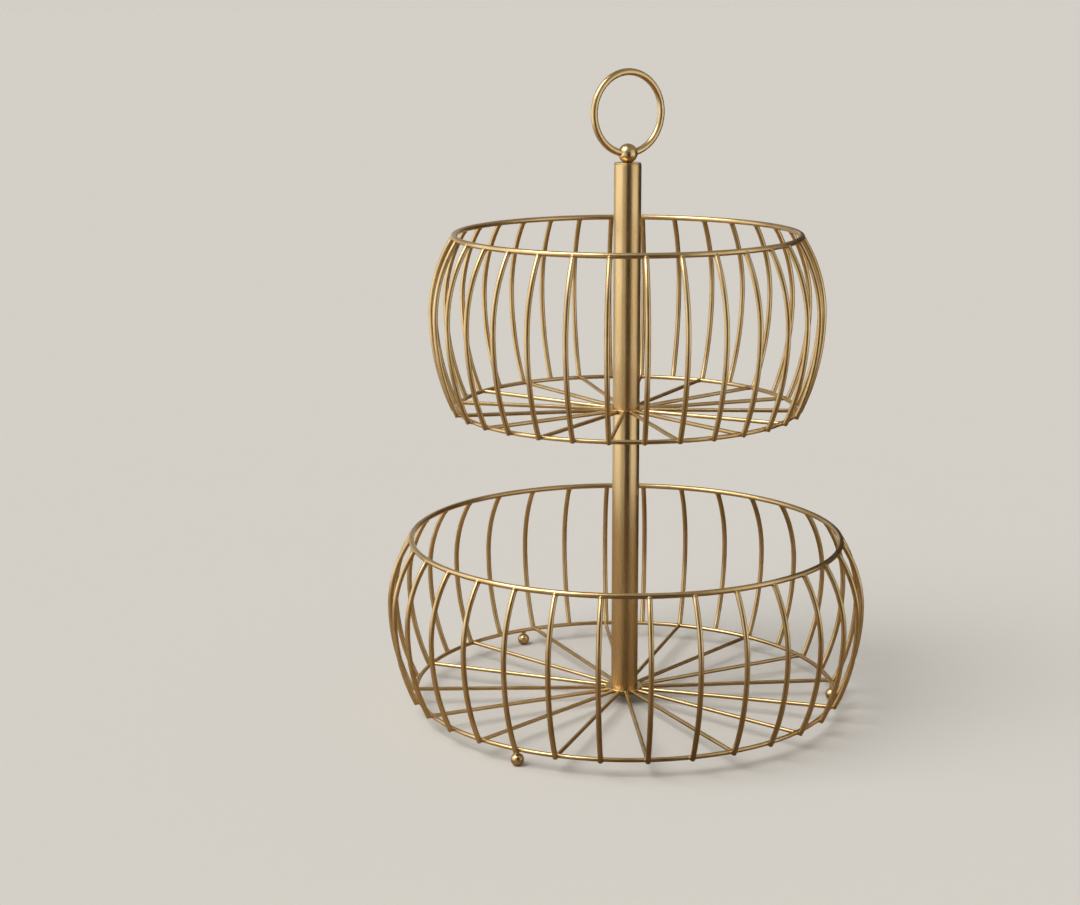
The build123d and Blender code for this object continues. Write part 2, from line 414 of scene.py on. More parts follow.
def make_copy_tree():
    tree, given, end = new_tree("copies_round_the_pole", COPY_SOCKETS)
    points = add_node(tree, "GeometryNodePoints", {"Count": given["Copies"]})
    index = add_node(tree, "GeometryNodeInputIndex").outputs["Index"]
    step = add_node(tree, "ShaderNodeMath", {0: 2 * pi, 1: given["Copies"]}, operation="DIVIDE")
    turn = add_node(tree, "ShaderNodeMath",
                    {0: index, 1: step.outputs[0], 2: given["First angle"]},
                    operation="MULTIPLY_ADD")
    chance = add_node(tree, "FunctionNodeRandomValue",
                      {2: -1.0, 3: 1.0, "ID": index, "Seed": given["Seed"]}, data_type="FLOAT")
    uneven = add_node(tree, "ShaderNodeMath",
                      {0: chance.outputs[1], 1: given["Unevenness"], 2: turn.outputs[0]},
                      operation="MULTIPLY_ADD")
    rotation = add_node(tree, "ShaderNodeCombineXYZ", {"Z": uneven.outputs[0]})
    copies = add_node(tree, "GeometryNodeInstanceOnPoints",
                      {"Points": points.outputs[0], "Instance": given["Geometry"],
                       "Rotation": rotation.outputs[0]})
    numbered = add_node(tree, "GeometryNodeStoreNamedAttribute",
                        {"Geometry": copies.outputs[0], "Name": "wire_number", "Value": index},
                        data_type="FLOAT", domain="INSTANCE")
    real = add_node(tree, "GeometryNodeRealizeInstances", {"Geometry": numbered.outputs[0]})
    coated = add_node(tree, "GeometryNodeSetMaterial",
                      {"Geometry": real.outputs[0], "Material": given["Material"]})
    tree.links.new(coated.outputs[0], end.inputs[0])
    return tree


copy_tree = make_copy_tree()
print("tree:", copy_tree.name, "inputs:", [name for name, _ in COPY_SOCKETS])

# %% [markdown]
# ## Geometry Nodes: a bent wire
#
# Bent wire is a circle pushed along a path. The path comes as a line of points. It first learns how
# far along the wire each point is, and how far from the nearer end, where the wire is welded. Its
# own attribute called fullness lets a cut end be chamfered.

# %% Push a round section along a path
def measured_path(tree, edges):
    """Turns edges into a curve whose points know how far along they are, and how far from a weld."""
    path = add_node(tree, "GeometryNodeMeshToCurve", {"Mesh": edges})
    along = add_node(tree, "GeometryNodeSplineParameter").outputs["Length"]
    whole = add_node(tree, "GeometryNodeSplineLength").outputs["Length"]
    rest = add_node(tree, "ShaderNodeMath", {0: whole, 1: along}, operation="SUBTRACT")
    nearer = add_node(tree, "ShaderNodeMath", {0: along, 1: rest.outputs[0]}, operation="MINIMUM")
    measured = add_node(tree, "GeometryNodeStoreNamedAttribute",
                        {"Geometry": path.outputs[0], "Name": "along", "Value": along},
                        data_type="FLOAT", domain="POINT")
    welded = add_node(tree, "GeometryNodeStoreNamedAttribute",
                      {"Geometry": measured.outputs[0], "Name": "from_weld",
                       "Value": nearer.outputs[0]},
                      data_type="FLOAT", domain="POINT")
    return welded.outputs[0]


def pushed_section(tree, path, diameter, sides, closed):
    """Pushes a circle along a path. Each point keeps its place in the circle."""
    radius = add_node(tree, "ShaderNodeMath", {0: diameter, 1: 0.5}, operation="MULTIPLY")
    circle = add_node(tree, "GeometryNodeCurvePrimitiveCircle",
                      {"Resolution": sides, "Radius": radius.outputs[0]})
    here = add_node(tree, "GeometryNodeInputPosition").outputs[0]
    section = add_node(tree, "GeometryNodeStoreNamedAttribute",
                       {"Geometry": circle.outputs["Curve"], "Name": "section", "Value": here},
                       data_type="FLOAT_VECTOR", domain="POINT")
    fullness = add_node(tree, "GeometryNodeInputNamedAttribute", {"Name": "fullness"},
                        data_type="FLOAT")
    tube = add_node(tree, "GeometryNodeCurveToMesh",
                    {"Curve": path, "Profile Curve": section.outputs[0],
                     "Scale": fullness.outputs["Attribute"], "Fill Caps": closed})
    return tube.outputs[0]


# %% [markdown]
# The finish needs surface coordinates called straight_wire: a point's place in the section, and how
# far along the wire it is. They are stored on the faces' corners, so a closed hoop can start and end
# at the same place without smearing its pattern. Its two ends are then joined. Edges that turn by
# more than the crisp angle stay sharp.

# %% Give the wire its coordinates and smooth it
JOIN_WITHIN = 0.05
CRISP_ANGLE = radians(38)


def pulled_straight(tree, tube):
    """Stores where each corner of the mesh would be if the wire were pulled straight."""
    along = add_node(tree, "GeometryNodeInputNamedAttribute", {"Name": "along"}, data_type="FLOAT")
    section = add_node(tree, "GeometryNodeInputNamedAttribute", {"Name": "section"},
                       data_type="FLOAT_VECTOR")
    up = add_node(tree, "ShaderNodeCombineXYZ", {"Z": along.outputs["Attribute"]})
    straight = add_node(tree, "ShaderNodeVectorMath",
                        {0: section.outputs["Attribute"], 1: up.outputs[0]}, operation="ADD")
    mapped = add_node(tree, "GeometryNodeStoreNamedAttribute",
                      {"Geometry": tube, "Name": "straight_wire", "Value": straight.outputs[0]},
                      data_type="FLOAT_VECTOR", domain="CORNER")
    return mapped.outputs[0]


def smoothed(tree, tube):
    """Joins a hoop's ends, shades all but cut edges smooth, and drops what only the tree needed."""
    joined = add_node(tree, "GeometryNodeMergeByDistance",
                      {"Geometry": tube, "Distance": JOIN_WITHIN * MM})
    smooth = add_node(tree, "GeometryNodeSetShadeSmooth", {"Geometry": joined.outputs[0]},
                      domain="FACE")
    angle = add_node(tree, "GeometryNodeInputMeshEdgeAngle").outputs["Unsigned Angle"]
    sharp = add_node(tree, "FunctionNodeCompare", {0: angle, 1: CRISP_ANGLE},
                     data_type="FLOAT", operation="GREATER_THAN")
    crisp = add_node(tree, "GeometryNodeSetShadeSmooth",
                     {"Geometry": smooth.outputs[0], "Selection": sharp.outputs[0],
                      "Shade Smooth": False},
                     domain="EDGE")
    bare = crisp.outputs[0]
    for name in ("along", "section", "fullness"):
        bare = add_node(tree, "GeometryNodeRemoveAttribute",
                        {"Geometry": bare, "Name": name}).outputs[0]
    return bare


# %% [markdown]
# The finished tree runs these steps one after the other and hands the wire to the tree that copies
# it round the pole. A hoop and the handle are one copy.

# %% The tree that draws a wire along a path
def make_wire_tree():
    tree, given, end = new_tree("wire_along_a_path", [
        ("Wire diameter", "NodeSocketFloat"),
        ("Sides", "NodeSocketInt"),
        ("Closed ends", "NodeSocketBool"),
        *COPY_SOCKETS,
    ])
    path = measured_path(tree, given["Geometry"])
    tube = pushed_section(tree, path, given["Wire diameter"], given["Sides"], given["Closed ends"])
    wire = smoothed(tree, pulled_straight(tree, tube))
    copies = add_node(tree, "GeometryNodeGroup", node_tree=copy_tree)
    tree.links.new(wire, copies.inputs["Geometry"])
    for name, _ in COPY_SOCKETS:
        tree.links.new(given[name], copies.inputs[name])
    tree.links.new(copies.outputs[0], end.inputs[0])
    return tree


wire_tree = make_wire_tree()
print("tree:", wire_tree.name, "nodes:", len(wire_tree.nodes))

# %% [markdown]
# ## Geometry Nodes: weld beads
#
# A resistance weld squeezes a small lens of steel out of the joint. The bead is an icosphere of few
# faces, flattened to three named sizes, tilted, and put at the joint. The copies then go round the
# pole with the wires that they join.

# %% The tree that makes weld beads
def make_bead_tree():
    tree, given, end = new_tree("weld_beads", [
        ("Place", "NodeSocketVector"),
        ("Tilt", "NodeSocketFloat"),
        ("Size", "NodeSocketVector"),
        *COPY_SOCKETS,
    ])
    ball = add_node(tree, "GeometryNodeMeshIcoSphere", {"Radius": 1.0, "Subdivisions": 2})
    tilt = add_node(tree, "ShaderNodeCombineXYZ", {"Y": given["Tilt"]})
    bead = add_node(tree, "GeometryNodeTransform",
                    {"Geometry": ball.outputs["Mesh"], "Translation": given["Place"],
                     "Rotation": tilt.outputs[0], "Scale": given["Size"]})
    smooth = add_node(tree, "GeometryNodeSetShadeSmooth", {"Geometry": bead.outputs[0]},
                      domain="FACE")
    copies = add_node(tree, "GeometryNodeGroup", node_tree=copy_tree)
    tree.links.new(smooth.outputs[0], copies.inputs["Geometry"])
    for name, _ in COPY_SOCKETS:
        tree.links.new(given[name], copies.inputs[name])
    tree.links.new(copies.outputs[0], end.inputs[0])
    return tree


bead_tree = make_bead_tree()
print("tree:", bead_tree.name, "nodes:", len(bead_tree.nodes))

# %% [markdown]
# A tree only shows a shape until it is read out. The next function puts a tree on a piece as a
# modifier, sets its inputs, takes the evaluated mesh as a plain mesh, and drops the modifier. The
# last one hands the piece to the frame: it rides on the root body and hides the CAD node that it
# stands for.

# %% Run a tree, and hand a piece to the frame
def run_tree(name, mesh, tree, values):
    """A piece with the plain mesh that a geometry tree makes from a mesh."""
    source = bpy.data.objects.new(name + "_source", mesh)
    bpy.context.scene.collection.objects.link(source)
    modifier = source.modifiers.new(tree.name, "NODES")
    modifier.node_group = tree
    for item in tree.interface.items_tree:
        if item.item_type == "SOCKET" and item.in_out == "INPUT" and item.name in values:
            modifier[item.identifier] = values[item.name]
    source.update_tag()
    depsgraph = bpy.context.evaluated_depsgraph_get()
    made = bpy.data.meshes.new_from_object(source.evaluated_get(depsgraph),
                                           preserve_all_data_layers=True, depsgraph=depsgraph)
    made.name = name
    piece = bpy.data.objects.new(name, made)
    bpy.context.scene.collection.objects.link(piece)
    bpy.data.objects.remove(source)
    return piece


def hand_over(piece, slot, *nodes):
    """Fixes a finished piece to the stand, in place of CAD nodes if any are named."""
    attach(piece, "root")
    if nodes:
        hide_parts(*nodes)
    faces = len(piece.data.polygons)
    print(piece.name, "faces:", faces, "stands for:", ", ".join(nodes) or "nothing in the CAD")


def copies_of(count, first_rib, unevenness=0.0, seed=0, material=None):
    """The inputs of the copying tree. The first copy stands at a rib's number, or between two."""
    azimuth = (first_rib + 0.5) * RIB_PITCH
    return {
        "Copies": count,
        "First angle": radians(azimuth - 90),
        "Unevenness": radians(unevenness),
        "Seed": seed,
        "Material": material,
    }


# %% [markdown]
# ## Paths for the wires
#
# A rib's path is a row of points in the XZ plane, on the +X side. It is two arcs that meet at the
# widest point of the basket, as wire comes off a bending roll: one leans in to the rim, the other to
# the ring round the floor. The arcs' radii follow from the hoops' radii and heights, so they aren't
# typed in. A hoop's path is a level circle.

# %% Draw a path
CHAMFER = 0.35
CHAMFER_SHARE = 0.8


def path_mesh(name, points, fullness=None):
    """A line of points in millimetres as a mesh of edges, with each point's share of full thickness."""
    mesh = bpy.data.meshes.new(name)
    corners = [(x * MM, y * MM, z * MM) for x, y, z in points]
    mesh.from_pydata(corners, [(i, i + 1) for i in range(len(corners) - 1)], [])
    shares = mesh.attributes.new("fullness", "FLOAT", "POINT")
    shares.data.foreach_set("value", fullness or [1.0] * len(corners))
    return mesh


def hoop_path(radius, height, steps=256):
    """A level circle whose last point lies on its first."""
    turns = [2 * pi * k / steps for k in range(steps + 1)]
    return [(radius * cos(t), radius * sin(t), height) for t in turns]


def rib_bends(tier):
    """The upper and lower bend of a rib: radius and span of each, and the height where they meet."""
    rim_inset = BULGE_RADII[tier] - RIM_RADII[tier]
    rim_drop = RIM_RISES[tier] - BULGE_RISES[tier]
    upper = (rim_inset ** 2 + rim_drop ** 2) / (2 * rim_inset)
    ring_inset = BULGE_RADII[tier] - RING_RADII[tier]
    lap = (RING_WIRE + RIB_WIRE) / 2 - WELD_SET
    lower = (ring_inset ** 2 + BULGE_RISES[tier] ** 2 - lap ** 2) / (2 * (ring_inset - lap))
    upper_span = asin(rim_drop / upper)
    lower_span = asin((BULGE_RISES[tier] + RIB_END_DROP) / lower)
    return upper, upper_span, lower, lower_span, RING_HEIGHTS[tier] + BULGE_RISES[tier]


def rib_path(tier, steps=22):
    """A rib's points from its cut lower end to the middle of the rim, and the chamfer's shares."""
    upper, upper_span, lower, lower_span, height = rib_bends(tier)
    widest = BULGE_RADII[tier]
    turns = [-lower_span, CHAMFER / lower - lower_span]
    turns += [-lower_span * (steps - k) / steps for k in range(1, steps)]
    points = [(widest - lower + lower * cos(t), 0, height + lower * sin(t)) for t in turns]
    for k in range(steps + 1):
        t = upper_span * k / steps
        points.append((widest - upper + upper * cos(t), 0, height + upper * sin(t)))
    return points, [CHAMFER_SHARE] + [1.0] * (len(points) - 1)


for tier in ("lower", "upper"):
    upper, upper_span, lower, lower_span, _ = rib_bends(tier)
    print(tier, "rib bends, radius in mm:", round(upper, 1), "and", round(lower, 1),
          "wire length in mm:", round(upper * upper_span + lower * lower_span, 1))

# %% [markdown]
# ## Rims and rings
#
# Each basket has two hoops: the thick rim that a hand reaches over, and a thinner ring round the
# floor. They are rolled from straight wire and butt welded behind one of the ribs, and the weld is
# ground flush.

# %% Make the four hoops
HOOP_SIDES = 20
HOOP_JOIN_RIB = 3

for tier in ("lower", "upper"):
    rim_height = RING_HEIGHTS[tier] + RIM_RISES[tier]
    for name, radius, height, wire, node in (
        (f"{tier}_rim_hoop", RIM_RADII[tier], rim_height, RIM_WIRE, f"{tier}_top_rim"),
        (f"{tier}_ring_hoop", RING_RADII[tier], RING_HEIGHTS[tier], RING_WIRE, f"{tier}_bottom_ring"),
    ):
        values = copies_of(1, HOOP_JOIN_RIB, material=satin_wire)
        values.update({"Wire diameter": wire * MM, "Sides": HOOP_SIDES, "Closed ends": False})
        hoop = run_tree(name, path_mesh(name, hoop_path(radius, height)), wire_tree, values)
        hand_over(hoop, "satin_brass_wire", node)

# %% [markdown]
# ## Ribs
#
# The bowed ribs give the stand its character. 32 of them stand round each basket. A jig sets them
# to within about a third of a degree, which is what the eye reads as made of wire rather than drawn
# by a machine. At the lower ribs' seed, none of them leans out past the CAD model's box.

# %% Make the ribs
RIB_SIDES = 16
RIB_UNEVENNESS = 0.3
RIB_SEEDS = {"lower": 32, "upper": 23}

for tier in ("lower", "upper"):
    points, shares = rib_path(tier)
    values = copies_of(RIB_COUNT, 0, RIB_UNEVENNESS, RIB_SEEDS[tier], satin_wire)
    values.update({"Wire diameter": RIB_WIRE * MM, "Sides": RIB_SIDES, "Closed ends": True})
    name = f"{tier}_bowed_ribs"
    ribs = run_tree(name, path_mesh(name, points, shares), wire_tree, values)
    hand_over(ribs, "satin_brass_wire", f"{tier}_ribs")

# %% [markdown]
# ## Floors
#
# A floor is 16 straight wires from the ring to a small plate in the middle, and it dips by under two
# millimetres to the plate. Each wire runs a little into the ring and the plate, as a fused end does.

# %% Make the floor wires
SPOKE_SIDES = 14
SPOKE_STEPS = 8
SPOKE_UNEVENNESS = 0.25
SPOKE_SEEDS = {"lower": 5, "upper": 8}
SPOKE_BITE = 0.5


def spoke_height(tier, radius):
    """How high a floor wire's middle is at a distance from the pole."""
    run = RING_RADII[tier] - HUB_RADIUS
    return RING_HEIGHTS[tier] - FLOOR_DISH * (RING_RADII[tier] - radius) / run


for tier in ("lower", "upper"):
    inner = HUB_RADIUS - SPOKE_BITE
    outer = RING_RADII[tier] - RING_WIRE / 2 + SPOKE_BITE
    reaches = [inner + (outer - inner) * k / SPOKE_STEPS for k in range(SPOKE_STEPS + 1)]
    points = [(reach, 0, spoke_height(tier, reach)) for reach in reaches]
    values = copies_of(SPOKE_COUNT, FIRST_SPOKES[tier], SPOKE_UNEVENNESS, SPOKE_SEEDS[tier], satin_wire)
    values.update({"Wire diameter": SPOKE_WIRE * MM, "Sides": SPOKE_SIDES, "Closed ends": True})
    name = f"{tier}_floor_wires"
    spokes = run_tree(name, path_mesh(name, points), wire_tree, values)
    hand_over(spokes, "satin_brass_wire", f"{tier}_floor_spokes")

# %% [markdown]
# ## Welds
#
# There is a weld where each rib meets the rim, where it laps the ring, and at both ends of each
# floor wire. They are only about four millimetres across, but without them wires seem to pass
# through each other. A bead's size is given as three half widths, in millimetres.

# %% Make the weld beads
RIM_BEAD = (2.2, 2.2, 1.0)
RING_BEAD = (0.9, 2.2, 1.5)
FLOOR_BEAD = (1.75, 1.75, 0.6)
HUB_BEAD = (1.7, 1.7, 0.6)


def make_beads(name, place, tilt, size, copies):
    """One kind of weld, copied round the pole."""
    values = dict(copies)
    values["Place"] = [side * MM for side in place]
    values["Tilt"] = tilt
    values["Size"] = [side * MM for side in size]
    values["Material"] = plated_weld
    beads = run_tree(name, bpy.data.meshes.new(name), bead_tree, values)
    hand_over(beads, "satin_brass_wire")


for tier in ("lower", "upper"):
    _, upper_span, _, _, _ = rib_bends(tier)
    rim_height = RING_HEIGHTS[tier] + RIM_RISES[tier]
    under_rim = (RIM_RADII[tier] + RIM_WIRE / 2 * sin(upper_span), 0,
                 rim_height - RIM_WIRE / 2 * cos(upper_span))
    ribs = copies_of(RIB_COUNT, 0, RIB_UNEVENNESS, RIB_SEEDS[tier])
    make_beads(f"{tier}_rim_welds", under_rim, -upper_span, RIM_BEAD, ribs)

    lap = (RING_RADII[tier] + (RING_WIRE - WELD_SET) / 2, 0, RING_HEIGHTS[tier])
    make_beads(f"{tier}_ring_welds", lap, 0.0, RING_BEAD, ribs)

    spokes = copies_of(SPOKE_COUNT, FIRST_SPOKES[tier], SPOKE_UNEVENNESS, SPOKE_SEEDS[tier])
    inside_ring = RING_RADII[tier] - RING_WIRE / 2
    make_beads(f"{tier}_floor_welds", (inside_ring, 0, spoke_height(tier, inside_ring)),
               pi / 2, FLOOR_BEAD, spokes)
    make_beads(f"{tier}_hub_welds", (HUB_RADIUS, 0, spoke_height(tier, HUB_RADIUS)),
               pi / 2, HUB_BEAD, spokes)

# %% [markdown]
# ## Turned pieces
#
# The tubes, plates, cap, ball and feet are all shapes of revolution. Each is drawn as half an
# outline, in millimetres from the axis and up, with its sharp corners broken as a file would
# break them. An edge that catches a thin line of light tells the eye how thick the metal is.

# %% Break the corners of an outline
ROUNDING_STEPS = 4


def broken(outline, sizes):
    """Rounds corners of an outline. Sizes holds how far back each rounding starts, 0 for none."""
    rounded = []
    count = len(outline)
    for k, (corner, size) in enumerate(zip(outline, sizes)):
        if size == 0:
            rounded.append(corner)
            continue
        middle = Vector(corner)
        before = Vector(outline[k - 1]) - middle
        after = Vector(outline[(k + 1) % count]) - middle
        start = middle + before.normalized() * size
        stop = middle + after.normalized() * size
        for step in range(ROUNDING_STEPS + 1):
            t = step / ROUNDING_STEPS
            point = start * (1 - t) ** 2 + middle * 2 * t * (1 - t) + stop * t ** 2
            rounded.append((point.x, point.y))
    return rounded


print("a broken corner has", ROUNDING_STEPS + 1, "points")

# %% [markdown]
# The outline is spun round the axis in mesh code. The mesh stores its lathe_place before it is
# moved to where the piece belongs.

# %% Turn an outline on the lathe
ON_THE_AXIS = 1e-6
LATHE_CRISP_ANGLE = radians(32)


def turned_mesh(name, outline, segments=96, moved=(0, 0)):
    """Spins an outline round an axis. An outline that doesn't end on the axis is closed on itself."""
    shape = bmesh.new()
    rows = []
    for radius, height in outline:
        if radius < ON_THE_AXIS:
            rows.append([shape.verts.new((0, 0, height * MM))])
        else:
            turns = [2 * pi * k / segments for k in range(segments)]
            rows.append([shape.verts.new((radius * MM * cos(t), radius * MM * sin(t), height * MM))
                         for t in turns])
    pairs = list(zip(rows, rows[1:]))
    if len(rows[0]) > 1:
        pairs.append((rows[-1], rows[0]))
    for one, two in pairs:
        for k in range(segments):
            n = (k + 1) % segments
            corners = [one[k % len(one)], one[n % len(one)], two[n % len(two)], two[k % len(two)]]
            ring = list(dict.fromkeys(corners))
            if len(ring) > 2:
                shape.faces.new(ring)
    bmesh.ops.recalc_face_normals(shape, faces=shape.faces)
    mesh = bpy.data.meshes.new(name)
    shape.to_mesh(mesh)
    shape.free()
    mesh.shade_smooth()
    mesh.set_sharp_from_angle(angle=LATHE_CRISP_ANGLE)
    place = mesh.attributes.new("lathe_place", "FLOAT_VECTOR", "POINT")
    flat = [side for vertex in mesh.vertices for side in vertex.co]
    place.data.foreach_set("vector", flat)
    mesh.transform(Matrix.Translation((moved[0] * MM, moved[1] * MM, 0)))
    return mesh


# %% [markdown]
# A ball's outline is an arc. It starts or ends where a flat, a seat or a neck cuts the ball.

# %% Draw a ball's outline, and hand a turned piece over
def ball_arc(radius, middle, start, stop, steps=32):
    """Points of a ball's outline between two angles above its middle, in degrees."""
    turns = [radians(start + (stop - start) * k / steps) for k in range(steps + 1)]
    return [(radius * cos(t), middle + radius * sin(t)) for t in turns]


def finished(name, mesh, material, slot, *nodes):
    """A turned piece with its finish, handed to the frame."""
    mesh.materials.append(material)
    piece = bpy.data.objects.new(name, mesh)
    bpy.context.scene.collection.objects.link(piece)
    hand_over(piece, slot, *nodes)


# %% [markdown]
# The pole is two tubes, one for each tier, with the upper basket's plate clamped between them. The
# joint shows as a thin dark line above and below the plate. The tubes' ends are faced square, and
# their corners are just broken.

# %% Make the tubes and the two hub plates
EDGE_BREAK = 0.25
PLATE_ROUND = 0.5

for tier, bottom, top in (
    ("lower", HUB_BOTTOMS["lower"] + HUB_THICKNESS, HUB_BOTTOMS["upper"]),
    ("upper", HUB_BOTTOMS["upper"] + HUB_THICKNESS, POLE_TOP),
):
    outline = broken([(TUBE_BORE_RADIUS, bottom), (TUBE_RADIUS, bottom),
                      (TUBE_RADIUS, top), (TUBE_BORE_RADIUS, top)], [EDGE_BREAK] * 4)
    finished(f"{tier}_pole_tube", turned_mesh(f"{tier}_pole_tube", outline),
             satin_tube, "satin_brass_tube", f"{tier}_tube")

    plate_bottom = HUB_BOTTOMS[tier]
    plate_top = plate_bottom + HUB_THICKNESS
    outline = broken([(HUB_HOLE_RADIUS, plate_bottom), (HUB_RADIUS, plate_bottom),
                      (HUB_RADIUS, plate_top), (HUB_HOLE_RADIUS, plate_top)],
                     [EDGE_BREAK, PLATE_ROUND, PLATE_ROUND, EDGE_BREAK])
    finished(f"{tier}_floor_plate", turned_mesh(f"{tier}_floor_plate", outline),
             satin_turned, "satin_brass_turned", f"{tier}_hub_plate")

# %% [markdown]
# The cap closes the pole with a low rounded flange on a plug. The ball sits on it with a ground
# seat, held by a stud, and the handle's two ends go into its sides.

# %% Make the cap and the ball
CAP_ROUND = 0.4

outline = broken([(STUD_HOLE_RADIUS, POLE_TOP - CAP_PLUG_LENGTH),
                  (CAP_PLUG_RADIUS, POLE_TOP - CAP_PLUG_LENGTH),
                  (CAP_PLUG_RADIUS, POLE_TOP), (CAP_RADIUS, POLE_TOP),
                  (CAP_RADIUS, CAP_TOP), (STUD_HOLE_RADIUS, CAP_TOP)],
                 [0, EDGE_BREAK, 0, EDGE_BREAK, CAP_ROUND, 0])
finished("pole_end_cap", turned_mesh("pole_end_cap", outline), satin_turned,
         "satin_brass_turned", "pole_cap")

seat = CAP_TOP - FINIAL_HEIGHT
seat_angle = degrees(asin(seat / FINIAL_RADIUS))
hole_top = CAP_TOP + FINIAL_HOLE_DEPTH
outline = [(0, hole_top), (STUD_HOLE_RADIUS, hole_top), (STUD_HOLE_RADIUS, CAP_TOP)]
outline += ball_arc(FINIAL_RADIUS, FINIAL_HEIGHT, seat_angle, 90)
finished("ball_finial", turned_mesh("ball_finial", outline), satin_turned,
         "satin_brass_turned", "finial_ball")

# %% [markdown]
# The handle is a ring of the thickest wire, left open where its ends go into the ball. It is drawn
# where it stands, so its one copy isn't turned. That is so at the +X axis, between two ribs.

# %% Make the handle
HANDLE_SIDES = 24
HANDLE_STEPS = 120
UNTURNED = RIB_COUNT / 4 - 0.5

gap = asin((FINIAL_RADIUS - HANDLE_SOCKET_DEPTH) / HANDLE_RADIUS)
turns = [gap + (2 * pi - 2 * gap) * k / HANDLE_STEPS for k in range(HANDLE_STEPS + 1)]
points = [(HANDLE_RADIUS * sin(t), 0, HANDLE_HEIGHT - HANDLE_RADIUS * cos(t)) for t in turns]
values = copies_of(1, UNTURNED, material=satin_wire)
values.update({"Wire diameter": HANDLE_WIRE * MM, "Sides": HANDLE_SIDES, "Closed ends": True})
handle = run_tree("carrying_ring", path_mesh("carrying_ring", points), wire_tree, values)
hand_over(handle, "satin_brass_wire", "handle_ring")

# %% [markdown]
# The feet are turned balls on short necks, welded up under the ring. Their undersides are ground
# flat so that all three stand on the table. Each ball runs into its neck by a short cone, which
# starts at the neck angle above the ball's middle.

# %% Make the feet
FOOT_SEGMENTS = 48
FOOT_ARC_STEPS = 28
NECK_ANGLE = 66
FOOT_BEAD = (2.1, 2.1, 0.6)
FOOT_BEAD_DROP = 0.1

foot_middle = FOOT_BALL_RADIUS - FOOT_FLAT
flat_angle = -degrees(asin(foot_middle / FOOT_BALL_RADIUS))
outline = [(0, 0)] + ball_arc(FOOT_BALL_RADIUS, foot_middle, flat_angle, NECK_ANGLE, FOOT_ARC_STEPS)
outline += [(FOOT_NECK_RADIUS, foot_middle + FOOT_BALL_RADIUS),
            (FOOT_NECK_RADIUS, RING_HEIGHTS["lower"]), (0, RING_HEIGHTS["lower"])]
foot = turned_mesh("ball_foot", outline, FOOT_SEGMENTS, (RING_RADII["lower"], 0))
values = copies_of(FOOT_COUNT, FIRST_FOOT, material=satin_turned)
feet = run_tree("turned_ball_feet", foot, copy_tree, values)
hand_over(feet, "satin_brass_turned", "ball_feet")
under_ring = (RING_RADII["lower"], 0, RING_HEIGHTS["lower"] - RING_WIRE / 2 - FOOT_BEAD_DROP)
make_beads("foot_welds", under_ring, 0.0, FOOT_BEAD, copies_of(FOOT_COUNT, FIRST_FOOT))

# %% [markdown]
# ## Standard parts
#
# The screw and washer under the floor, and the plugs and studs inside the tubes, keep their CAD
# meshes. They only need their finish.

# %% Finish the standard parts
for node in ("lower_tube_foot_insert", "lower_tube_top_insert", "upper_tube_foot_insert",
             "joining_stud", "finial_stud", "base_washer", "base_screw"):
    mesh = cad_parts[node].data
    mesh.materials.clear()
    mesh.materials.append(bright_zinc)
    print(node, "is", bright_zinc.name)

# %% [markdown]
# ## Studio
#
# The studio is set up in metres. The floor is a sheet of pale card, so wide that its edge lies on
# the horizon. It has no sheen at all, so it looks equally bright from every side, and the room behind
# it has the same tone.

# %% Make the floor
FLOOR_COLOUR = "#DEDBD5"
FLOOR_REACH = 400.0


def matt_card(name, colour, specular=0.5):
    """Card of one plain colour. It has the shader's usual sheen unless it is given another."""
    material = bpy.data.materials.new(name)
    material.use_nodes = True
    shader = material.node_tree.nodes["Principled BSDF"]
    shader.inputs["Base Color"].default_value = linear(colour)
    shader.inputs["Roughness"].default_value = 0.9
    shader.inputs["Specular IOR Level"].default_value = specular
    return material


floor_mesh = bpy.data.meshes.new("studio_floor")
floor_corners = [(-FLOOR_REACH, -FLOOR_REACH, 0), (FLOOR_REACH, -FLOOR_REACH, 0),
                 (FLOOR_REACH, FLOOR_REACH, 0), (-FLOOR_REACH, FLOOR_REACH, 0)]
floor_mesh.from_pydata(floor_corners, [], [(0, 1, 2, 3)])
floor_mesh.materials.append(matt_card("pale_matt_card", FLOOR_COLOUR, specular=0.0))
floor = bpy.data.objects.new("studio_floor", floor_mesh)
bpy.context.scene.collection.objects.link(floor)
print("floor reaches", FLOOR_REACH, "m each way")

# %% [markdown]
# The camera's place comes from fitting a pinhole camera to the four hoops as the photograph shows
# them. Its height over the table and its distance were found together with its focal length, so
# the ellipses of the hoops open by the right amount from top to bottom. Its place is in millimetres,
# as it was measured against the stand. It sees past the floor's far corners.

# %% Make the camera
CAMERA_PLACE = (-3.4, -1395.0, 493.0)
CAMERA_PITCH = radians(12.5)
CAMERA_YAW = radians(-2.355)
CAMERA_ROLL = radians(0.16)
CAMERA_TURN = radians(-33.75)
LENS = 67.26
SENSOR_WIDTH = 36.0
SIGHT = 900.0

forward = Vector((sin(CAMERA_YAW) * cos(CAMERA_PITCH), cos(CAMERA_YAW) * cos(CAMERA_PITCH),
                  -sin(CAMERA_PITCH)))
right = Vector((cos(CAMERA_YAW), -sin(CAMERA_YAW), 0))
down = forward.cross(right)
rolled_right = right * cos(CAMERA_ROLL) + down * sin(CAMERA_ROLL)
rolled_down = down * cos(CAMERA_ROLL) - right * sin(CAMERA_ROLL)
axes = Matrix((rolled_right, -rolled_down, -forward)).transposed().to_4x4()
place = Matrix.Translation(Vector(CAMERA_PLACE) * MM)

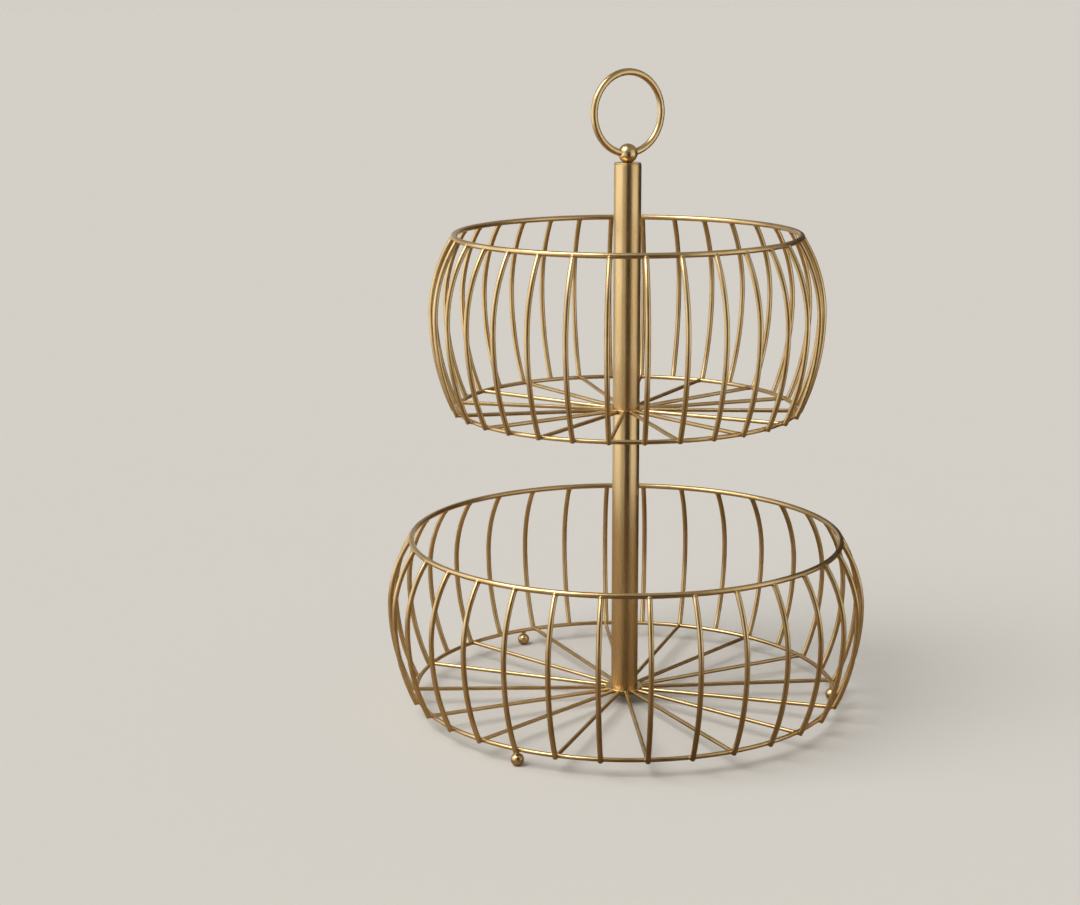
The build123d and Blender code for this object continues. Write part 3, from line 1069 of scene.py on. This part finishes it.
camera = bpy.data.objects.new("camera", bpy.data.cameras.new("camera"))
camera.matrix_world = Matrix.Rotation(CAMERA_TURN, 4, "Z") @ place @ axes
camera.data.lens = LENS
camera.data.sensor_width = SENSOR_WIDTH
camera.data.sensor_fit = "HORIZONTAL"
camera.data.clip_end = SIGHT
bpy.context.scene.collection.objects.link(camera)
bpy.context.scene.camera = camera
print("camera stands at", [round(side, 3) for side in camera.matrix_world.translation])

# %% [markdown]
# A broad soft lamp that shines the same everywhere, high on the left, lights the floor evenly out to
# the horizon. Two soft panels stand near the pole for its reflections. Their power is given by how
# bright they look, because that is what metal mirrors: that brightness times pi times the area.

# %% Make the lamps
AIM_HEIGHT = 0.22


def aimed(name, light, azimuth, distance, height):
    """A lamp at an angle from the camera's side, in degrees, that faces the middle of the stand."""
    towards = CAMERA_TURN + radians(azimuth)
    place = Vector((distance * sin(towards), -distance * cos(towards), height))
    lamp = bpy.data.objects.new(name, light)
    lamp.location = place
    lamp.rotation_euler = (Vector((0, 0, AIM_HEIGHT)) - place).to_track_quat("-Z", "Y").to_euler()
    lamp.visible_camera = False
    bpy.context.scene.collection.objects.link(lamp)
    return lamp


def soft_panel(name, azimuth, distance, height, width, tall, brightness):
    """A soft rectangular lamp of a given brightness, for reflections only."""
    light = bpy.data.lights.new(name, "AREA")
    light.shape = "RECTANGLE"
    light.size = width
    light.size_y = tall
    light.energy = brightness * pi * width * tall
    lamp = aimed(name, light, azimuth, distance, height)
    lamp.visible_diffuse = False
    print(name, "power in W:", round(light.energy, 1))


high_lamp = bpy.data.lights.new("high_soft_lamp", "SUN")
high_lamp.energy = 2.3
high_lamp.angle = radians(45)
aimed("high_soft_lamp", high_lamp, azimuth=-62, distance=1.5, height=2.2)
soft_panel("left_panel", azimuth=-78, distance=0.8, height=0.45, width=1.2, tall=0.9, brightness=0.84)
soft_panel("right_panel", azimuth=66, distance=0.8, height=0.45, width=0.65, tall=0.9, brightness=0.47)

# %% [markdown]
# Metal in an all-pale room has no dark side, and then it looks like plastic. A photographer stands
# dark cards round shiny metal for that. Two of them are here, one near the camera's side and one
# behind on the right. Only the metal sees them: they hide from the camera and throw no shadow. The
# pole then gets the bright bands and dark bands that tell the eye it is round.

# %% Stand the dark cards
def show_to_metal_alone(piece):
    """Puts a piece in the room that only reflections see."""
    piece.visible_camera = False
    piece.visible_diffuse = False
    piece.visible_shadow = False
    bpy.context.scene.collection.objects.link(piece)


def dark_card(name, azimuth, distance, width, tall):
    """A card that stands on the floor at an angle from the camera's side, in degrees."""
    mesh = bpy.data.meshes.new(name)
    side = width / 2
    mesh.from_pydata([(-side, 0, 0), (side, 0, 0), (side, 0, tall), (-side, 0, tall)], [], [(0, 1, 2, 3)])
    mesh.materials.append(dark_paper)
    card = bpy.data.objects.new(name, mesh)
    towards = CAMERA_TURN + radians(azimuth)
    card.location = (distance * sin(towards), -distance * cos(towards), 0)
    card.rotation_euler = (0, 0, towards)
    show_to_metal_alone(card)
    print(name, "is", width, "m wide and", tall, "m high")


dark_paper = matt_card("dark_brown_card", "#3A2C1E")
dark_card("front_dark_card", azimuth=12, distance=0.62, width=0.5, tall=0.6)
dark_card("back_dark_card", azimuth=135, distance=0.4, width=0.56, tall=0.5)

# %% [markdown]
# What lies under a shiny wire colours its lower half, and the photograph's wires are brown there. So
# a round sheet of brown card lies on the floor, again for the metal alone. It is darkest on the sides
# where the dark cards stand, as if it lay in their shade. A radial gradient gives the angle round the
# pole, and a colour ramp turns the angle into a tone.

# %% Lay the brown sheet
OPEN_BROWN = "#A8937A"
HALF_SHADED_BROWN = "#9A8468"
BACK_SHADED_BROWN = "#78634A"
SHADED_BROWN = "#63503B"

# The sheet's tones by their angle from the camera's side, in degrees.
SHEET_TONES = [(-180, OPEN_BROWN), (-40, OPEN_BROWN), (0, SHADED_BROWN), (24, SHADED_BROWN),
               (60, HALF_SHADED_BROWN), (110, BACK_SHADED_BROWN), (160, BACK_SHADED_BROWN),
               (180, OPEN_BROWN)]
SHEET_RADIUS = 0.7
SHEET_LIFT = 0.0003
SHEET_SIDES = 64


def make_shaded_card():
    """Brown card whose tone changes round the Z axis."""
    material = matt_card("brown_card_shaded_round_the_pole", OPEN_BROWN)
    tree = material.node_tree
    place = add_node(tree, "ShaderNodeTexCoord").outputs["Object"]
    angle = add_node(tree, "ShaderNodeTexGradient", {"Vector": place}, gradient_type="RADIAL")
    ramp = add_node(tree, "ShaderNodeValToRGB", {"Fac": angle.outputs["Fac"]})
    stops = ramp.color_ramp.elements
    while len(stops) < len(SHEET_TONES):
        stops.new(0.5)
    for stop, (azimuth, colour) in zip(stops, SHEET_TONES):
        stop.position = azimuth / 360 + 0.5
        stop.color = linear(colour)
    tree.links.new(ramp.outputs["Color"], tree.nodes["Principled BSDF"].inputs["Base Color"])
    return material


turns = [2 * pi * side / SHEET_SIDES for side in range(SHEET_SIDES)]
rim = [(SHEET_RADIUS * cos(turn), SHEET_RADIUS * sin(turn), SHEET_LIFT) for turn in turns]
sheet_mesh = bpy.data.meshes.new("brown_sheet")
sheet_mesh.from_pydata(rim, [], [tuple(range(SHEET_SIDES))])
sheet_mesh.materials.append(make_shaded_card())
sheet = bpy.data.objects.new("brown_sheet", sheet_mesh)
sheet.rotation_euler = (0, 0, CAMERA_TURN - pi / 2)
show_to_metal_alone(sheet)
print("the brown sheet has", len(SHEET_TONES), "tones round the pole")

# %% [markdown]
# The room's walls are pale and its ceiling is darker, so the tops of the wires keep some shape. The
# tone follows the height of the direction that a ray leaves in: 0 at the horizon, 1 overhead.

# %% Make the room
WALL_STRENGTH = 0.735
CEILING_STRENGTH = 0.34
CEILING_STARTS = 0.35

world = bpy.data.worlds.new("studio_room")
world.use_nodes = True
room = world.node_tree
direction = add_node(room, "ShaderNodeTexCoord").outputs["Generated"]
upwards = add_node(room, "ShaderNodeSeparateXYZ", {"Vector": direction}).outputs["Z"]
strength = between(room, upwards, WALL_STRENGTH, CEILING_STRENGTH, 0.0, CEILING_STARTS)
background = room.nodes["Background"]
background.inputs["Color"].default_value = linear("#F2EDE4")
room.links.new(strength, background.inputs["Strength"])
bpy.context.scene.world = world
bpy.context.scene.view_settings.view_transform = "Standard"
print("the room's strength goes from", WALL_STRENGTH, "at the horizon to", CEILING_STRENGTH)
